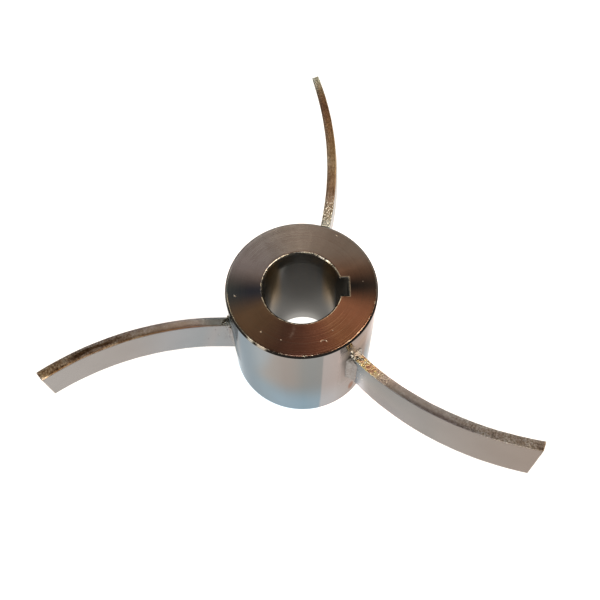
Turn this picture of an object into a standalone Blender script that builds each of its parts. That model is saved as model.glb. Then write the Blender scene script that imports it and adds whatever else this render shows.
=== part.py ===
# Mixer impeller: a keyed steel hub with three curved flat-bar blades welded round it.
# Metres, +Z up. The origin is on the bore's axis in the plane of the hub's base, and
# the keyway faces +X. The blades sweep upwards and curve back as they go outwards.

import math

import bmesh
import bpy
from mathutils import Matrix, Vector

# Hub: a length of round bar, bored and keyed
HUB_RADIUS = 0.030
HUB_HEIGHT = 0.058
HUB_CHAMFER = 0.0009
BORE_RADIUS = 0.0145
BORE_CHAMFER = 0.0015
KEYWAY_WIDTH = 0.008
KEYWAY_FLOOR = 0.0185      # from the bore's axis to the keyway's floor
KEYWAY_CORNER = 0.0004
KEYWAY_CORNER_STEPS = 2
HUB_SIDES = 96

# Blades: strips of plate on edge, all bent to one arc
BAR_THICKNESS = 0.004
BAR_HEIGHT = 0.021
BEND_RADIUS = 0.122
BAR_BEVEL = 0.0003
BAR_STEPS = 24
ROOT_HEIGHT = 0.0325       # middle of the bar where it meets the hub's wall
ROOT_INSET = 0.006         # the strip starts inside the wall and is cut to fit it

# How each blade was welded on, in degrees: its place round the hub, its turn from the
# radial line, its rise, and its lean about its own length
BLADES = {
    "left": {"azimuth": 193.3, "toe": -10.2, "rise": 13.2, "lean": -1.0},
    "right": {"azimuth": 312.9, "toe": -7.3, "rise": 11.6, "lean": 0.5},
    "back": {"azimuth": 74.9, "toe": -5.9, "rise": 21.0, "lean": 4.6},
}

# How each tip was cut by hand: the arc length of the bar's top edge, and in degrees how
# far the cut runs back towards the lower corner and how far it is out of square
TIPS = {
    "left": {"length": 0.0794, "rake": 12.0, "skew": 0.0},
    "right": {"length": 0.0826, "rake": 10.0, "skew": -8.0},
    "back": {"length": 0.0783, "rake": 12.0, "skew": 0.0},
}

# Welds: a fillet down each side of a root, and a lump at each of its four corners
FILLET_RADIUS = 0.0029
FILLET_SIDES = 20
FILLET_STOP = 0.0014       # the fillet ends this far short of the bar's edges
LUMP_ALONG = 0.0025        # out from the hub's wall
LUMP_ACROSS = 0.0020       # across the bar's thickness
LUMP_UP = 0.0018
LUMP_SINK = 0.0008         # a lump's middle sits this far inside the bar's edge
LUMP_SEGMENTS = 18
LUMP_RINGS = 10

GAP = 0.0003               # clearance between pieces that are welded together
OVERRUN = 0.004            # how far a cutter passes what it cuts
CONCAVE = 1                # side of a bar that faces the centre of its bend
CONVEX = -1
MERGE_DISTANCE = 0.00001
FULL_TURN = 2.0 * math.pi
BEVEL_ABOVE = math.radians(50.0)   # only edges sharper than this are bevelled
HALVINGS = 40              # enough to find a crossing far inside a micron
BLOCK_STRETCH = 4.0        # a tip cutter's height in bar heights, to pass both edges


def clear_scene():
    for old in list(bpy.data.objects):
        bpy.data.objects.remove(old, do_unlink=True)


def new_collection(name):
    collection = bpy.data.collections.new(name)
    bpy.context.scene.collection.children.link(collection)
    return collection


def metal(name, colour, roughness):
    material = bpy.data.materials.new(name)
    material.use_nodes = True
    shader = material.node_tree.nodes["Principled BSDF"]
    shader.inputs["Base Color"].default_value = (*colour, 1.0)
    shader.inputs["Metallic"].default_value = 1.0
    shader.inputs["Roughness"].default_value = roughness
    return material


def add_object(name, bm, collection):
    mesh = bpy.data.meshes.new(name)
    bm.to_mesh(mesh)
    bm.free()
    thing = bpy.data.objects.new(name, mesh)
    collection.objects.link(thing)
    return thing


def finish_piece(thing, material, carrier):
    thing.data.materials.append(material)
    thing.data.shade_smooth()
    thing.parent = carrier


def make_cutter(thing):
    thing.hide_render = True
    thing.display_type = "WIRE"
    return thing


def cut(thing, *cutters):
    for cutter in cutters:
        boolean = thing.modifiers.new("cut " + cutter.name, "BOOLEAN")
        boolean.operation = "DIFFERENCE"
        boolean.solver = "EXACT"
        boolean.object = cutter


def screw(thing, angle, steps):
    turn = thing.modifiers.new("turn", "SCREW")
    turn.axis = "Z"
    turn.angle = angle
    turn.steps = turn.render_steps = steps
    turn.merge_threshold = MERGE_DISTANCE
    turn.use_merge_vertices = angle == FULL_TURN


def turned_ring(name, profile, sides, collection):
    bm = bmesh.new()
    points = [bm.verts.new((radius, 0.0, height)) for radius, height in profile]
    for start, end in zip(points, points[1:] + points[:1]):
        bm.edges.new((start, end))
    ring = add_object(name, bm, collection)
    screw(ring, FULL_TURN, sides)
    return ring


def upright_cylinder(name, radius, low, high, sides, collection):
    bm = bmesh.new()
    bmesh.ops.create_cone(bm, cap_ends=True, segments=sides, radius1=radius, radius2=radius,
                          depth=high - low)
    cylinder = add_object(name, bm, collection)
    cylinder.location.z = (low + high) / 2.0
    return cylinder


def box(name, size, collection):
    bm = bmesh.new()
    bmesh.ops.create_cube(bm, size=1.0)
    bmesh.ops.scale(bm, vec=size, verts=bm.verts)
    return add_object(name, bm, collection)


def bar_frame(setting):
    # Local +X leaves the hub, +Y points to the centre of the bend, +Z is up the bar.
    azimuth = math.radians(setting["azimuth"])
    root = Vector((HUB_RADIUS * math.cos(azimuth), HUB_RADIUS * math.sin(azimuth), ROOT_HEIGHT))
    heading = Matrix.Rotation(azimuth + math.radians(setting["toe"]), 4, "Z")
    rise = Matrix.Rotation(-math.radians(setting["rise"]), 4, "Y")
    lean = Matrix.Rotation(math.radians(setting["lean"]), 4, "X")
    return Matrix.Translation(root) @ heading @ rise @ lean


def bar_point(frame, along, side, height):
    # A point on a face of the bar, at an arc length from the root and a height on the bar.
    turn = along / BEND_RADIUS
    radius = BEND_RADIUS - side * BAR_THICKNESS / 2.0
    return frame @ Vector((radius * math.sin(turn), BEND_RADIUS - radius * math.cos(turn), height))


def meets_wall(frame, side, height):
    # Where a long edge of the bar's face reaches the hub's wall, found by halving.
    near, far = -ROOT_INSET, ROOT_INSET * 2.0
    for _ in range(HALVINGS):
        middle = (near + far) / 2.0
        if bar_point(frame, middle, side, height).xy.length < HUB_RADIUS:
            near = middle
        else:
            far = middle
    return bar_point(frame, near, side, height)


def curved_bar(name, frame, length, grow, collection):
    # A strip on edge, swept round the axis of its bend and thickened to both sides.
    start = -ROOT_INSET / BEND_RADIUS
    half = BAR_HEIGHT / 2.0 + grow
    first = Vector((BEND_RADIUS * math.sin(start), -BEND_RADIUS * math.cos(start), 0.0))
    bm = bmesh.new()
    low = bm.verts.new(first - Vector((0.0, 0.0, half)))
    high = bm.verts.new(first + Vector((0.0, 0.0, half)))
    bm.edges.new((low, high))
    bar = add_object(name, bm, collection)
    screw(bar, (length + ROOT_INSET + OVERRUN) / BEND_RADIUS, BAR_STEPS)
    thick = bar.modifiers.new("thickness", "SOLIDIFY")
    thick.thickness = BAR_THICKNESS + 2.0 * grow
    thick.offset = 0.0
    thick.use_even_offset = True
    bar.matrix_basis = frame @ Matrix.Translation((0.0, BEND_RADIUS, 0.0))
    return bar


def bevel_edges(thing, width, segments=1):
    bevel = thing.modifiers.new("edges", "BEVEL")
    bevel.width = width
    bevel.segments = segments
    bevel.limit_method = "ANGLE"
    bevel.angle_limit = BEVEL_ABOVE


def tip_cutter(name, frame, tip, collection):
    # A block whose near face is the cut across the bar's end.
    block = box(name, (BAR_HEIGHT, BAR_HEIGHT, BAR_HEIGHT * BLOCK_STRETCH), collection)
    turn = Matrix.Rotation(tip["length"] / BEND_RADIUS, 4, "Z")
    bend = Matrix.Translation((0.0, BEND_RADIUS, 0.0)) @ turn
    corner = Matrix.Translation((0.0, -BEND_RADIUS, BAR_HEIGHT / 2.0))
    skew = Matrix.Rotation(math.radians(tip["skew"]), 4, "Z")
    rake = Matrix.Rotation(math.radians(tip["rake"]), 4, "Y")
    beyond = Matrix.Translation((BAR_HEIGHT / 2.0, 0.0, 0.0))
    block.matrix_basis = frame @ bend @ corner @ skew @ rake @ beyond
    return make_cutter(block)


def bead_between(name, start, end, collection):
    bm = bmesh.new()
    span = end - start
    bmesh.ops.create_cone(bm, cap_ends=True, segments=FILLET_SIDES, radius1=FILLET_RADIUS,
                          radius2=FILLET_RADIUS, depth=span.length)
    bead = add_object(name, bm, collection)
    bead.matrix_basis = (Matrix.Translation((start + end) / 2.0)
                         @ span.to_track_quat("Z", "Y").to_matrix().to_4x4())
    return bead


def lump(name, frame, centre, grow, collection):
    bm = bmesh.new()
    bmesh.ops.create_uvsphere(bm, u_segments=LUMP_SEGMENTS, v_segments=LUMP_RINGS, radius=1.0)
    size = Vector((LUMP_ALONG, LUMP_ACROSS, LUMP_UP)) + Vector((grow, grow, grow))
    bmesh.ops.scale(bm, vec=size, verts=bm.verts)
    ball = add_object(name, bm, collection)
    ball.matrix_basis = Matrix.Translation(centre) @ frame.to_3x3().to_4x4()
    return ball


def make_hub(parts, cutters, material, carrier):
    profile = [
        (HUB_RADIUS - HUB_CHAMFER, HUB_HEIGHT),
        (HUB_RADIUS, HUB_HEIGHT - HUB_CHAMFER),
        (HUB_RADIUS, HUB_CHAMFER),
        (HUB_RADIUS - HUB_CHAMFER, 0.0),
        (BORE_RADIUS + BORE_CHAMFER, 0.0),
        (BORE_RADIUS, BORE_CHAMFER),
        (BORE_RADIUS, HUB_HEIGHT - BORE_CHAMFER),
        (BORE_RADIUS + BORE_CHAMFER, HUB_HEIGHT),
    ]
    hub = turned_ring("hub", profile, HUB_SIDES, parts)
    slot = box("keyway cutter", (KEYWAY_FLOOR, KEYWAY_WIDTH, HUB_HEIGHT + 2.0 * OVERRUN), cutters)
    slot.location = (KEYWAY_FLOOR / 2.0, 0.0, HUB_HEIGHT / 2.0)
    bevel_edges(slot, KEYWAY_CORNER, KEYWAY_CORNER_STEPS)
    cut(hub, make_cutter(slot))
    finish_piece(hub, material, carrier)


def make_blade(name, envelope, parts, cutters, material, carrier):
    frame = bar_frame(BLADES[name])
    blade = curved_bar("blade_" + name, frame, TIPS[name]["length"], 0.0, parts)
    bevel_edges(blade, BAR_BEVEL)
    cut(blade, envelope, tip_cutter("tip cutter " + name, frame, TIPS[name], cutters))
    finish_piece(blade, material, carrier)


def make_welds(name, envelope, parts, cutters, material, carrier):
    frame = bar_frame(BLADES[name])
    around = make_cutter(curved_bar("clearance " + name, frame, TIPS[name]["length"], GAP, cutters))
    across = frame.to_3x3() @ Vector((0.0, 1.0, 0.0))
    for side, side_name in ((CONCAVE, "inner"), (CONVEX, "outer")):
        stops = [meets_wall(frame, side, end * (BAR_HEIGHT / 2.0 - FILLET_STOP)) for end in (-1, 1)]
        bead = bead_between("weld_" + name + "_" + side_name, *stops, parts)
        cut(bead, envelope, around)
        for end, end_name in ((1, "top"), (-1, "under")):
            lump_name = name + "_" + end_name + "_" + side_name
            reach = LUMP_ACROSS + GAP / 2.0 - BAR_THICKNESS / 2.0
            corner = meets_wall(frame, side, end * (BAR_HEIGHT / 2.0 - LUMP_SINK))
            centre = corner + across * side * reach
            ball = lump("weld_" + lump_name, frame, centre, 0.0, parts)
            cut(ball, envelope, around)
            finish_piece(ball, material, carrier)
            cut(bead, make_cutter(lump("clearance " + lump_name, frame, centre, GAP, cutters)))
        finish_piece(bead, material, carrier)


def build():
    clear_scene()
    parts = new_collection("mixer_impeller")
    cutters = new_collection("cutters")
    carrier = bpy.data.objects.new("impeller", None)
    parts.objects.link(carrier)
    turned_steel = metal("turned_steel", (0.42, 0.36, 0.32), 0.22)
    bar_steel = metal("bar_steel", (0.56, 0.54, 0.52), 0.35)
    weld_metal = metal("weld_metal", (0.34, 0.31, 0.29), 0.40)
    make_hub(parts, cutters, turned_steel, carrier)
    envelope = make_cutter(upright_cylinder("hub clearance", HUB_RADIUS + GAP, -OVERRUN,
                                            HUB_HEIGHT + OVERRUN, HUB_SIDES, cutters))
    for name in BLADES:
        make_blade(name, envelope, parts, cutters, bar_steel, carrier)
        make_welds(name, envelope, parts, cutters, weld_metal, carrier)
    bpy.context.view_layer.update()


build()
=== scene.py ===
import math

import bmesh
import bpy
from mathutils import Matrix, Vector


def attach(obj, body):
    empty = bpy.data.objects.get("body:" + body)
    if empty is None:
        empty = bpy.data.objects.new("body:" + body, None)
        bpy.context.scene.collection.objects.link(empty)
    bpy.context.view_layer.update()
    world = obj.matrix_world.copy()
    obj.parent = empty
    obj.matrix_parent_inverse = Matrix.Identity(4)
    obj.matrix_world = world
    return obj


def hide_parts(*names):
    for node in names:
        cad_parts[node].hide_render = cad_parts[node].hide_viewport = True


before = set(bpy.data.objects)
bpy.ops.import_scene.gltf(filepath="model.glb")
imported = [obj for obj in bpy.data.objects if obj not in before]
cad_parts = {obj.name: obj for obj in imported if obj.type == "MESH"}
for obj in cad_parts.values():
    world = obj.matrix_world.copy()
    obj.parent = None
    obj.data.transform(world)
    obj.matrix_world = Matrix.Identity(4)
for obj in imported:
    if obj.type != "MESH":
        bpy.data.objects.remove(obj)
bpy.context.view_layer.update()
scene = bpy.context.scene
scene.view_settings.view_transform = "Standard"


class Wire:
    # One output of a node. Arithmetic on wires adds Math nodes, node() makes any other node
    def __init__(self, tree, socket=None):
        self.tree, self.socket = tree, socket

    def node(self, kind, inputs=None, out=0, **settings):
        made = self.tree.nodes.new(kind)
        for name, value in settings.items():
            if name == "stops":
                ramp = made.color_ramp.elements
                while len(ramp) < len(value):
                    ramp.new(0.5)
                for stop, (place, *colour) in zip(ramp, value):
                    stop.position, stop.color = place, (*colour, 1.0)
            else:
                setattr(made, name, value)
        for key, value in (inputs or {}).items():
            target = made.inputs[key]
            if isinstance(value, Wire):
                self.tree.links.new(value.socket, target)
            elif isinstance(value, list):
                for wire in value:
                    self.tree.links.new(wire.socket, target)
            else:
                target.default_value = value
        if out is None:
            return [Wire(self.tree, socket) for socket in made.outputs]
        return Wire(self.tree, made.outputs[out]) if made.outputs else None

    def maths(self, operation, *others):
        return self.node("ShaderNodeMath", dict(enumerate((self, *others))), operation=operation)

    def __add__(self, other):
        return self.maths("ADD", other)

    def __sub__(self, other):
        return self.maths("SUBTRACT", other)

    def __mul__(self, other):
        return self.maths("MULTIPLY", other)

    def __truediv__(self, other):
        return self.maths("DIVIDE", other)

    def __rsub__(self, other):
        return self.node("ShaderNodeMath", {0: other, 1: self}, operation="SUBTRACT")

    def __abs__(self):
        return self.maths("ABSOLUTE")

    __radd__ = __add__
    __rmul__ = __mul__

    def least(self, other):
        return self.maths("MINIMUM", other)

    def most(self, other):
        return self.maths("MAXIMUM", other)

    def step(self, start, end):
        # 0 at start and 1 at end, smooth between; start may be the larger one
        return self.node("ShaderNodeMapRange", {"Value": self, "From Min": start, "From Max": end},
                         interpolation_type="SMOOTHSTEP")

    def near(self, centre, start, end):
        # The same by the distance from a centre
        return abs(self - centre).step(start, end)

    def length(self, *others):
        total = self * self
        for other in others:
            total = total + other * other
        return total.maths("SQRT")

    def split(self):
        return self.node("ShaderNodeSeparateXYZ", {0: self}, out=None)

    def join(self, x, y, z):
        return self.node("ShaderNodeCombineXYZ", {0: x, 1: y, 2: z})

    def noise(self, vector, scale, detail=2.0, roughness=0.5, seed=0.0):
        return self.node("ShaderNodeTexNoise", {"Vector": vector, "Scale": scale, "Detail": detail,
                          "Roughness": roughness, "W": seed}, noise_dimensions="4D")

    def blend(self, share, first, second, how="MIX"):
        first, second = [c if isinstance(c, Wire) else (*c, 1.0) for c in (first, second)]
        return self.node("ShaderNodeMix", {0: share, 6: first, 7: second}, 2,
                         data_type="RGBA", blend_type=how)

    def tinted(self, share, colour, tone):
        # The colour, with a share of it multiplied by the tone
        return self.blend(share, colour, self.blend(1.0, colour, tone, "MULTIPLY"))

    def ramp(self, stops):
        return self.node("ShaderNodeValToRGB", {0: self}, stops=stops)

    def bump(self, depth):
        return self.node("ShaderNodeBump", {"Strength": 1.0, "Distance": depth, "Height": self})

    def scaled(self, factor):
        return self.node("ShaderNodeVectorMath", {0: self, 3: factor}, operation="SCALE")


# Tools for pieces

def link(thing):
    scene.collection.objects.link(thing)
    return thing


def newTree(name, inputs):
    # A Geometry Nodes tree; its inputs are labels listed by kind, and grown() sets them all
    tree = bpy.data.node_groups.new(name, "GeometryNodeTree")
    tree.interface.new_socket("Geometry", in_out="OUTPUT", socket_type="NodeSocketGeometry")
    for kind, labels in inputs.items():
        for label in labels:
            tree.interface.new_socket(label, in_out="INPUT", socket_type="NodeSocket" + kind)
    given = tree.nodes.new("NodeGroupInput").outputs
    return tree, Wire(tree), {label: Wire(tree, given[label]) for kind in inputs for label in inputs[kind]}


def closeTree(build, geometry, material):
    smooth = build.node("GeometryNodeSetShadeSmooth", {"Geometry": geometry})
    plain = build.node("GeometryNodeRealizeInstances", {"Geometry": smooth})
    painted = build.node("GeometryNodeSetMaterial", {"Geometry": plain, "Material": material})
    output = build.tree.nodes.new("NodeGroupOutput")
    build.tree.links.new(painted.socket, output.inputs[0])


def baked(carrier, name):
    # The evaluated object as a plain mesh; the carrier goes with its modifiers
    graph = bpy.context.evaluated_depsgraph_get()
    mesh = bpy.data.meshes.new_from_object(carrier.evaluated_get(graph),
                                           preserve_all_data_layers=True, depsgraph=graph)
    bpy.data.objects.remove(carrier)
    mesh.name = name
    return link(bpy.data.objects.new(name, mesh))


def grown(name, tree, values):
    carrier = link(bpy.data.objects.new(name + ".carrier", bpy.data.meshes.new(name)))
    modifier = carrier.modifiers.new("grow", "NODES")
    modifier.node_group = tree
    for item in tree.interface.items_tree:
        if item.in_out == "INPUT":
            modifier[item.identifier] = values[item.name]
    return baked(carrier, name)


def placed(piece, matrix, slot, *nodes):
    # Puts a piece's place in its mesh, attaches it to the root and hides the parts that it stands for
    piece.data.transform(matrix)
    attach(piece, "root")
    if nodes:
        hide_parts(*nodes)
    return piece


def newMaterial(name):
    material = bpy.data.materials.new(name)
    material.use_nodes = True
    material.node_tree.nodes.clear()
    return material, Wire(material.node_tree)


def closeMaterial(paint, constants, wires):
    shader = paint.node("ShaderNodeBsdfPrincipled", {**constants, **wires})
    paint.node("ShaderNodeOutputMaterial", {"Surface": shader})


# Camera, light and floor

camera = {
    "place": (0.0, -0.144, 0.32805), "aim": (-0.00076, 0.00878, 0.03), "roll": -1.41,
    "sensor": 36.0, "lens": 47.07, "clip": 0.01,
}
sky = {
    "floor": (0.3, 0.28, 0.26), "horizon": (0.2, 0.19, 0.175), "wall": (0.6, 0.52, 0.44),
    "ceiling": (0.085, 0.075, 0.065), "warm": (0.36, 0.18, 0.11),
    # Elevations in degrees over which one tone gives way to the next
    "toHorizon": (-8.0, 2.0), "toCeiling": (24.0, 40.0), "toWarm": (52.0, 72.0),
    "wallStart": (14.0, 26.0), "wallEnd": (88.0, 74.0),
    # The lit wall's edge to either side, as x over y, and towards the front, by y
    "wallSide": (1.1, 0.2), "wallFront": (0.0, 0.15),
    # Soft boxes: azimuth, elevation, width and height in degrees, colour, strength
    "panels": [
        (208.3, 18.0, 6.4, 22.0, (1.0, 0.98, 0.9), 6.0),
        (222.2, 21.0, 10.2, 22.0, (1.0, 0.93, 0.84), 6.0),
        (148.0, 30.0, 40.0, 24.0, (1.0, 0.84, 0.62), 1.8),
        (28.0, 32.0, 36.0, 24.0, (1.0, 0.84, 0.66), 1.8),
        (258.0, 74.0, 50.0, 12.0, (1.0, 0.95, 0.86), 6.0),
        (345.0, 48.0, 50.0, 28.0, (1.0, 0.88, 0.72), 7.0),
        (102.0, 47.0, 18.0, 9.0, (1.0, 0.92, 0.8), 1.8),
    ],
    "softEdge": 1.6,
}
floor = {
    "size": 12.0, "drop": 0.0001, "paint": 0.3, "rough": 0.9,
    "plain": (1.03, 0.99, 0.95), "cool": (1.01, 1.13, 1.21), "warm": (1.66, 1.42, 1.34),
    # The border of the cool and the warm light: a point on it, and the direction across it
    "border": (0.0066, -0.0293), "across": (0.807, 0.592), "borderHalf": 0.0005,
    # Where the tints end, by the distance from the axis, by x and by y
    "tintEnd": (0.052, 0.075), "warmFar": (0.042, 0.036), "warmBack": (-0.016, -0.01),
    "coolFar": (0.033, 0.044), "coolLeft": (-0.036, -0.026), "coolBack": (-0.01, 0.0),
    # What shows through the bore gets its light at the back and in the middle
    "bore": (1.0, 0.97, 0.92), "boreEdge": (0.0165, 0.0155), "boreSide": (0.01, 0.005),
    "boreRise": (0.0, 0.0115), "boreBack": (0.0095, 0.0122),
    "boreDark": 0.17, "boreMiddle": 0.34, "boreLight": 0.65,
}


def makeCamera():
    data = bpy.data.cameras.new("camera")
    data.sensor_width, data.lens, data.clip_start = camera["sensor"], camera["lens"], camera["clip"]
    thing = link(bpy.data.objects.new("camera", data))
    start, aim = Vector(camera["place"]), Vector(camera["aim"])
    turn = (aim - start).to_track_quat("-Z", "Y").to_matrix().to_4x4()
    roll = Matrix.Rotation(math.radians(camera["roll"]), 4, "Z")
    thing.matrix_world = Matrix.Translation(start) @ turn @ roll
    scene.camera = thing
    print("camera made")


def makeSky():
    world = bpy.data.worlds.new("studio")
    scene.world = world
    world.use_nodes = True
    world.node_tree.nodes.clear()
    paint = Wire(world.node_tree)
    x, y, z = paint.node("ShaderNodeTexCoord").split()
    high = z.maths("ARCSINE") * (180.0 / math.pi)
    low = paint.blend(high.step(*sky["toHorizon"]), sky["floor"], sky["horizon"])
    roof = paint.blend(high.step(*sky["toCeiling"]), low, sky["ceiling"])
    # A lit wall behind the rotor, brightest low down, that turns brown towards the ceiling
    wall = (abs(x) / y.most(0.05)).step(*sky["wallSide"]) * y.step(*sky["wallFront"])
    wall = wall * high.step(*sky["wallStart"]) * high.step(*sky["wallEnd"])
    tone = paint.blend(high.step(*sky["toWarm"]), sky["wall"], sky["warm"])
    colour = paint.blend(wall, roof, tone)
    soft = sky["softEdge"]
    for azimuth, elevation, width, height, tint, strength in sky["panels"]:
        turn = math.radians(azimuth)
        ahead = x * math.cos(turn) + y * math.sin(turn)
        aside = y * math.cos(turn) - x * math.sin(turn)
        swing = abs(aside.maths("ARCTAN2", ahead) * (180.0 / math.pi))
        mask = swing.step(width / 2.0 + soft, width / 2.0 - soft)
        mask = mask * high.near(elevation, height / 2.0 + soft, height / 2.0 - soft)
        colour = paint.blend(mask, colour, tuple(c * strength for c in tint))
    # The camera itself sees plain white
    seen = paint.node("ShaderNodeLightPath")
    shown = paint.blend(seen, colour, (1.0, 1.0, 1.0))
    background = paint.node("ShaderNodeBackground", {"Color": shown, "Strength": 1.0})
    paint.node("ShaderNodeOutputWorld", {"Surface": background})
    print("studio light made")


def makeFloor():
    mesh = bpy.data.meshes.new("floor")
    half, low = floor["size"] / 2.0, -floor["drop"]
    corners = [(-half, -half, low), (half, -half, low), (half, half, low), (-half, half, low)]
    mesh.from_pydata(corners, [], [(0, 1, 2, 3)])
    thing = link(bpy.data.objects.new("floor", mesh))
    material, paint = newMaterial("pale floor")
    x, y, _ = paint.node("ShaderNodeTexCoord", out=3).split()
    far = x.length(y)
    # Near the hub the light on the floor is cool to the left and warm to the right
    (borderX, borderY), (acrossX, acrossY) = floor["border"], floor["across"]
    edge = (x - borderX) * acrossX + (y - borderY) * acrossY
    warm = edge.step(-floor["borderHalf"], floor["borderHalf"])
    warm = warm * (1.0 - y.step(*floor["warmBack"]) * far.step(*floor["warmFar"]))
    plain = (far.step(*floor["coolFar"]) * x.step(*floor["coolLeft"])).most(y.step(*floor["coolBack"]))
    near = paint.blend(warm, paint.blend(plain, floor["cool"], floor["plain"]), floor["warm"])
    glow = paint.blend(far.step(*floor["tintEnd"]), near, floor["plain"])
    inside = far.step(*floor["boreEdge"])
    glow = paint.blend(inside, glow, floor["bore"])
    lit = y.step(*floor["boreRise"]) * floor["boreMiddle"] + y.step(*floor["boreBack"]) * floor["boreLight"]
    lit = lit * abs(x).step(*floor["boreSide"])
    strength = 1.0 + inside * (lit + floor["boreDark"] - 1.0)
    closeMaterial(paint, {"Base Color": (*[floor["paint"]] * 3, 1.0), "Roughness": floor["rough"],
                          "Specular IOR Level": 0.0, "Emission Strength": 1.0},
                  {"Emission Color": glow.scaled(strength)})
    mesh.materials.append(material)
    print("floor made")


# Metals

# A ramp's stops are a place from 0 to 1 and the red, green and blue there
hubLook = {
    # Painted reflections and shade round the face and the wall, from the left (0) to the right (1)
    "back": [(0.05, 0.3, 0.3, 0.33), (0.22, 0.265, 0.26, 0.265), (0.4, 0.36, 0.34, 0.32),
             (0.5, 0.395, 0.37, 0.345), (0.85, 0.28, 0.255, 0.23)],
    "front": [(0.115, 0.217, 0.165, 0.11), (0.33, 0.127, 0.082, 0.065), (0.5, 0.182, 0.1, 0.0755),
              (0.67, 0.303, 0.153, 0.1), (0.785, 0.407, 0.224, 0.134), (0.91, 0.456, 0.236, 0.144)],
    "wall": [(0.0, 0.2, 0.24, 0.26), (0.05, 0.338, 0.385, 0.415), (0.22, 0.367, 0.415, 0.44),
             (0.38, 0.3, 0.315, 0.322), (0.5, 0.266, 0.292, 0.3), (0.72, 0.318, 0.308, 0.298),
             (0.87, 0.275, 0.236, 0.202), (0.91, 0.315, 0.265, 0.225), (0.95, 0.34, 0.3, 0.27),
             (0.98, 0.28, 0.25, 0.23)],
    # Painted shade: the face's two dark wedges, from the bore (0) to the rim (1)
    "wedgeLeft": [(0.3, 0.053, 0.066, 0.095), (0.9, 0.077, 0.105, 0.12)],
    "wedgeRight": [(0.3, 0.031, 0.03, 0.03), (0.9, 0.066, 0.055, 0.048)],
    # Tints that multiply what is under them; the back's right one and the wall's top and foot ones are
    # painted reflections
    "backRight": (0.95, 0.7, 0.56), "streak": (1.5, 1.5, 1.5), "cloud": (0.62, 0.58, 0.54),
    "wallTop": (1.18, 1.03, 0.95), "wallFoot": (1.12, 1.26, 1.36), "rootTop": (1.35, 1.3, 1.28),
    # Tones that cover it; the chamfer's is painted shade and the lip's a painted highlight
    "chamfer": (0.085, 0.08, 0.072), "bore": (0.33, 0.325, 0.315), "boreSide": (0.54, 0.4, 0.25),
    "key": (0.4, 0.385, 0.36), "lipHighlight": (0.92, 0.84, 0.68), "heat": (0.23, 0.105, 0.05),
    "dent": (0.75, 0.68, 0.58), "smear": (0.45, 0.42, 0.4),
    # Reflection at grazing angles, turning rings and roughness
    "grazing": (0.48, 0.48, 0.48, 1.0), "ringPitch": 0.0003, "ringDepth": 0.00004,
    "wallRough": 0.075, "topRough": 0.17, "boreRough": 0.26, "rootRough": 0.42, "lipRough": 0.15,
    # Small dents in the top face (x, y, radius), a bowed gouge, a smear, and a heat spot on the wall
    "dents": [(0.0147, 0.0231, 0.00045), (-0.0259, -0.0033, 0.0005), (-0.0157, -0.0189, 0.00045),
              (-0.0081, -0.0224, 0.0004), (0.0241, 0.0021, 0.00035), (0.0115, -0.0188, 0.0003)],
    "gougePlace": (0.008, -0.0231), "gougeCentre": 0.0008, "gougeRadius": 0.0012,
    "smearPlace": (-0.0036, -0.019), "smearLean": 0.35,
    "spotPlace": (0.0204, -0.022, 0.0084), "spotSquash": 0.42,
    "wedgeLean": 0.043, "wedgeDrop": 0.0006,
}
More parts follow.
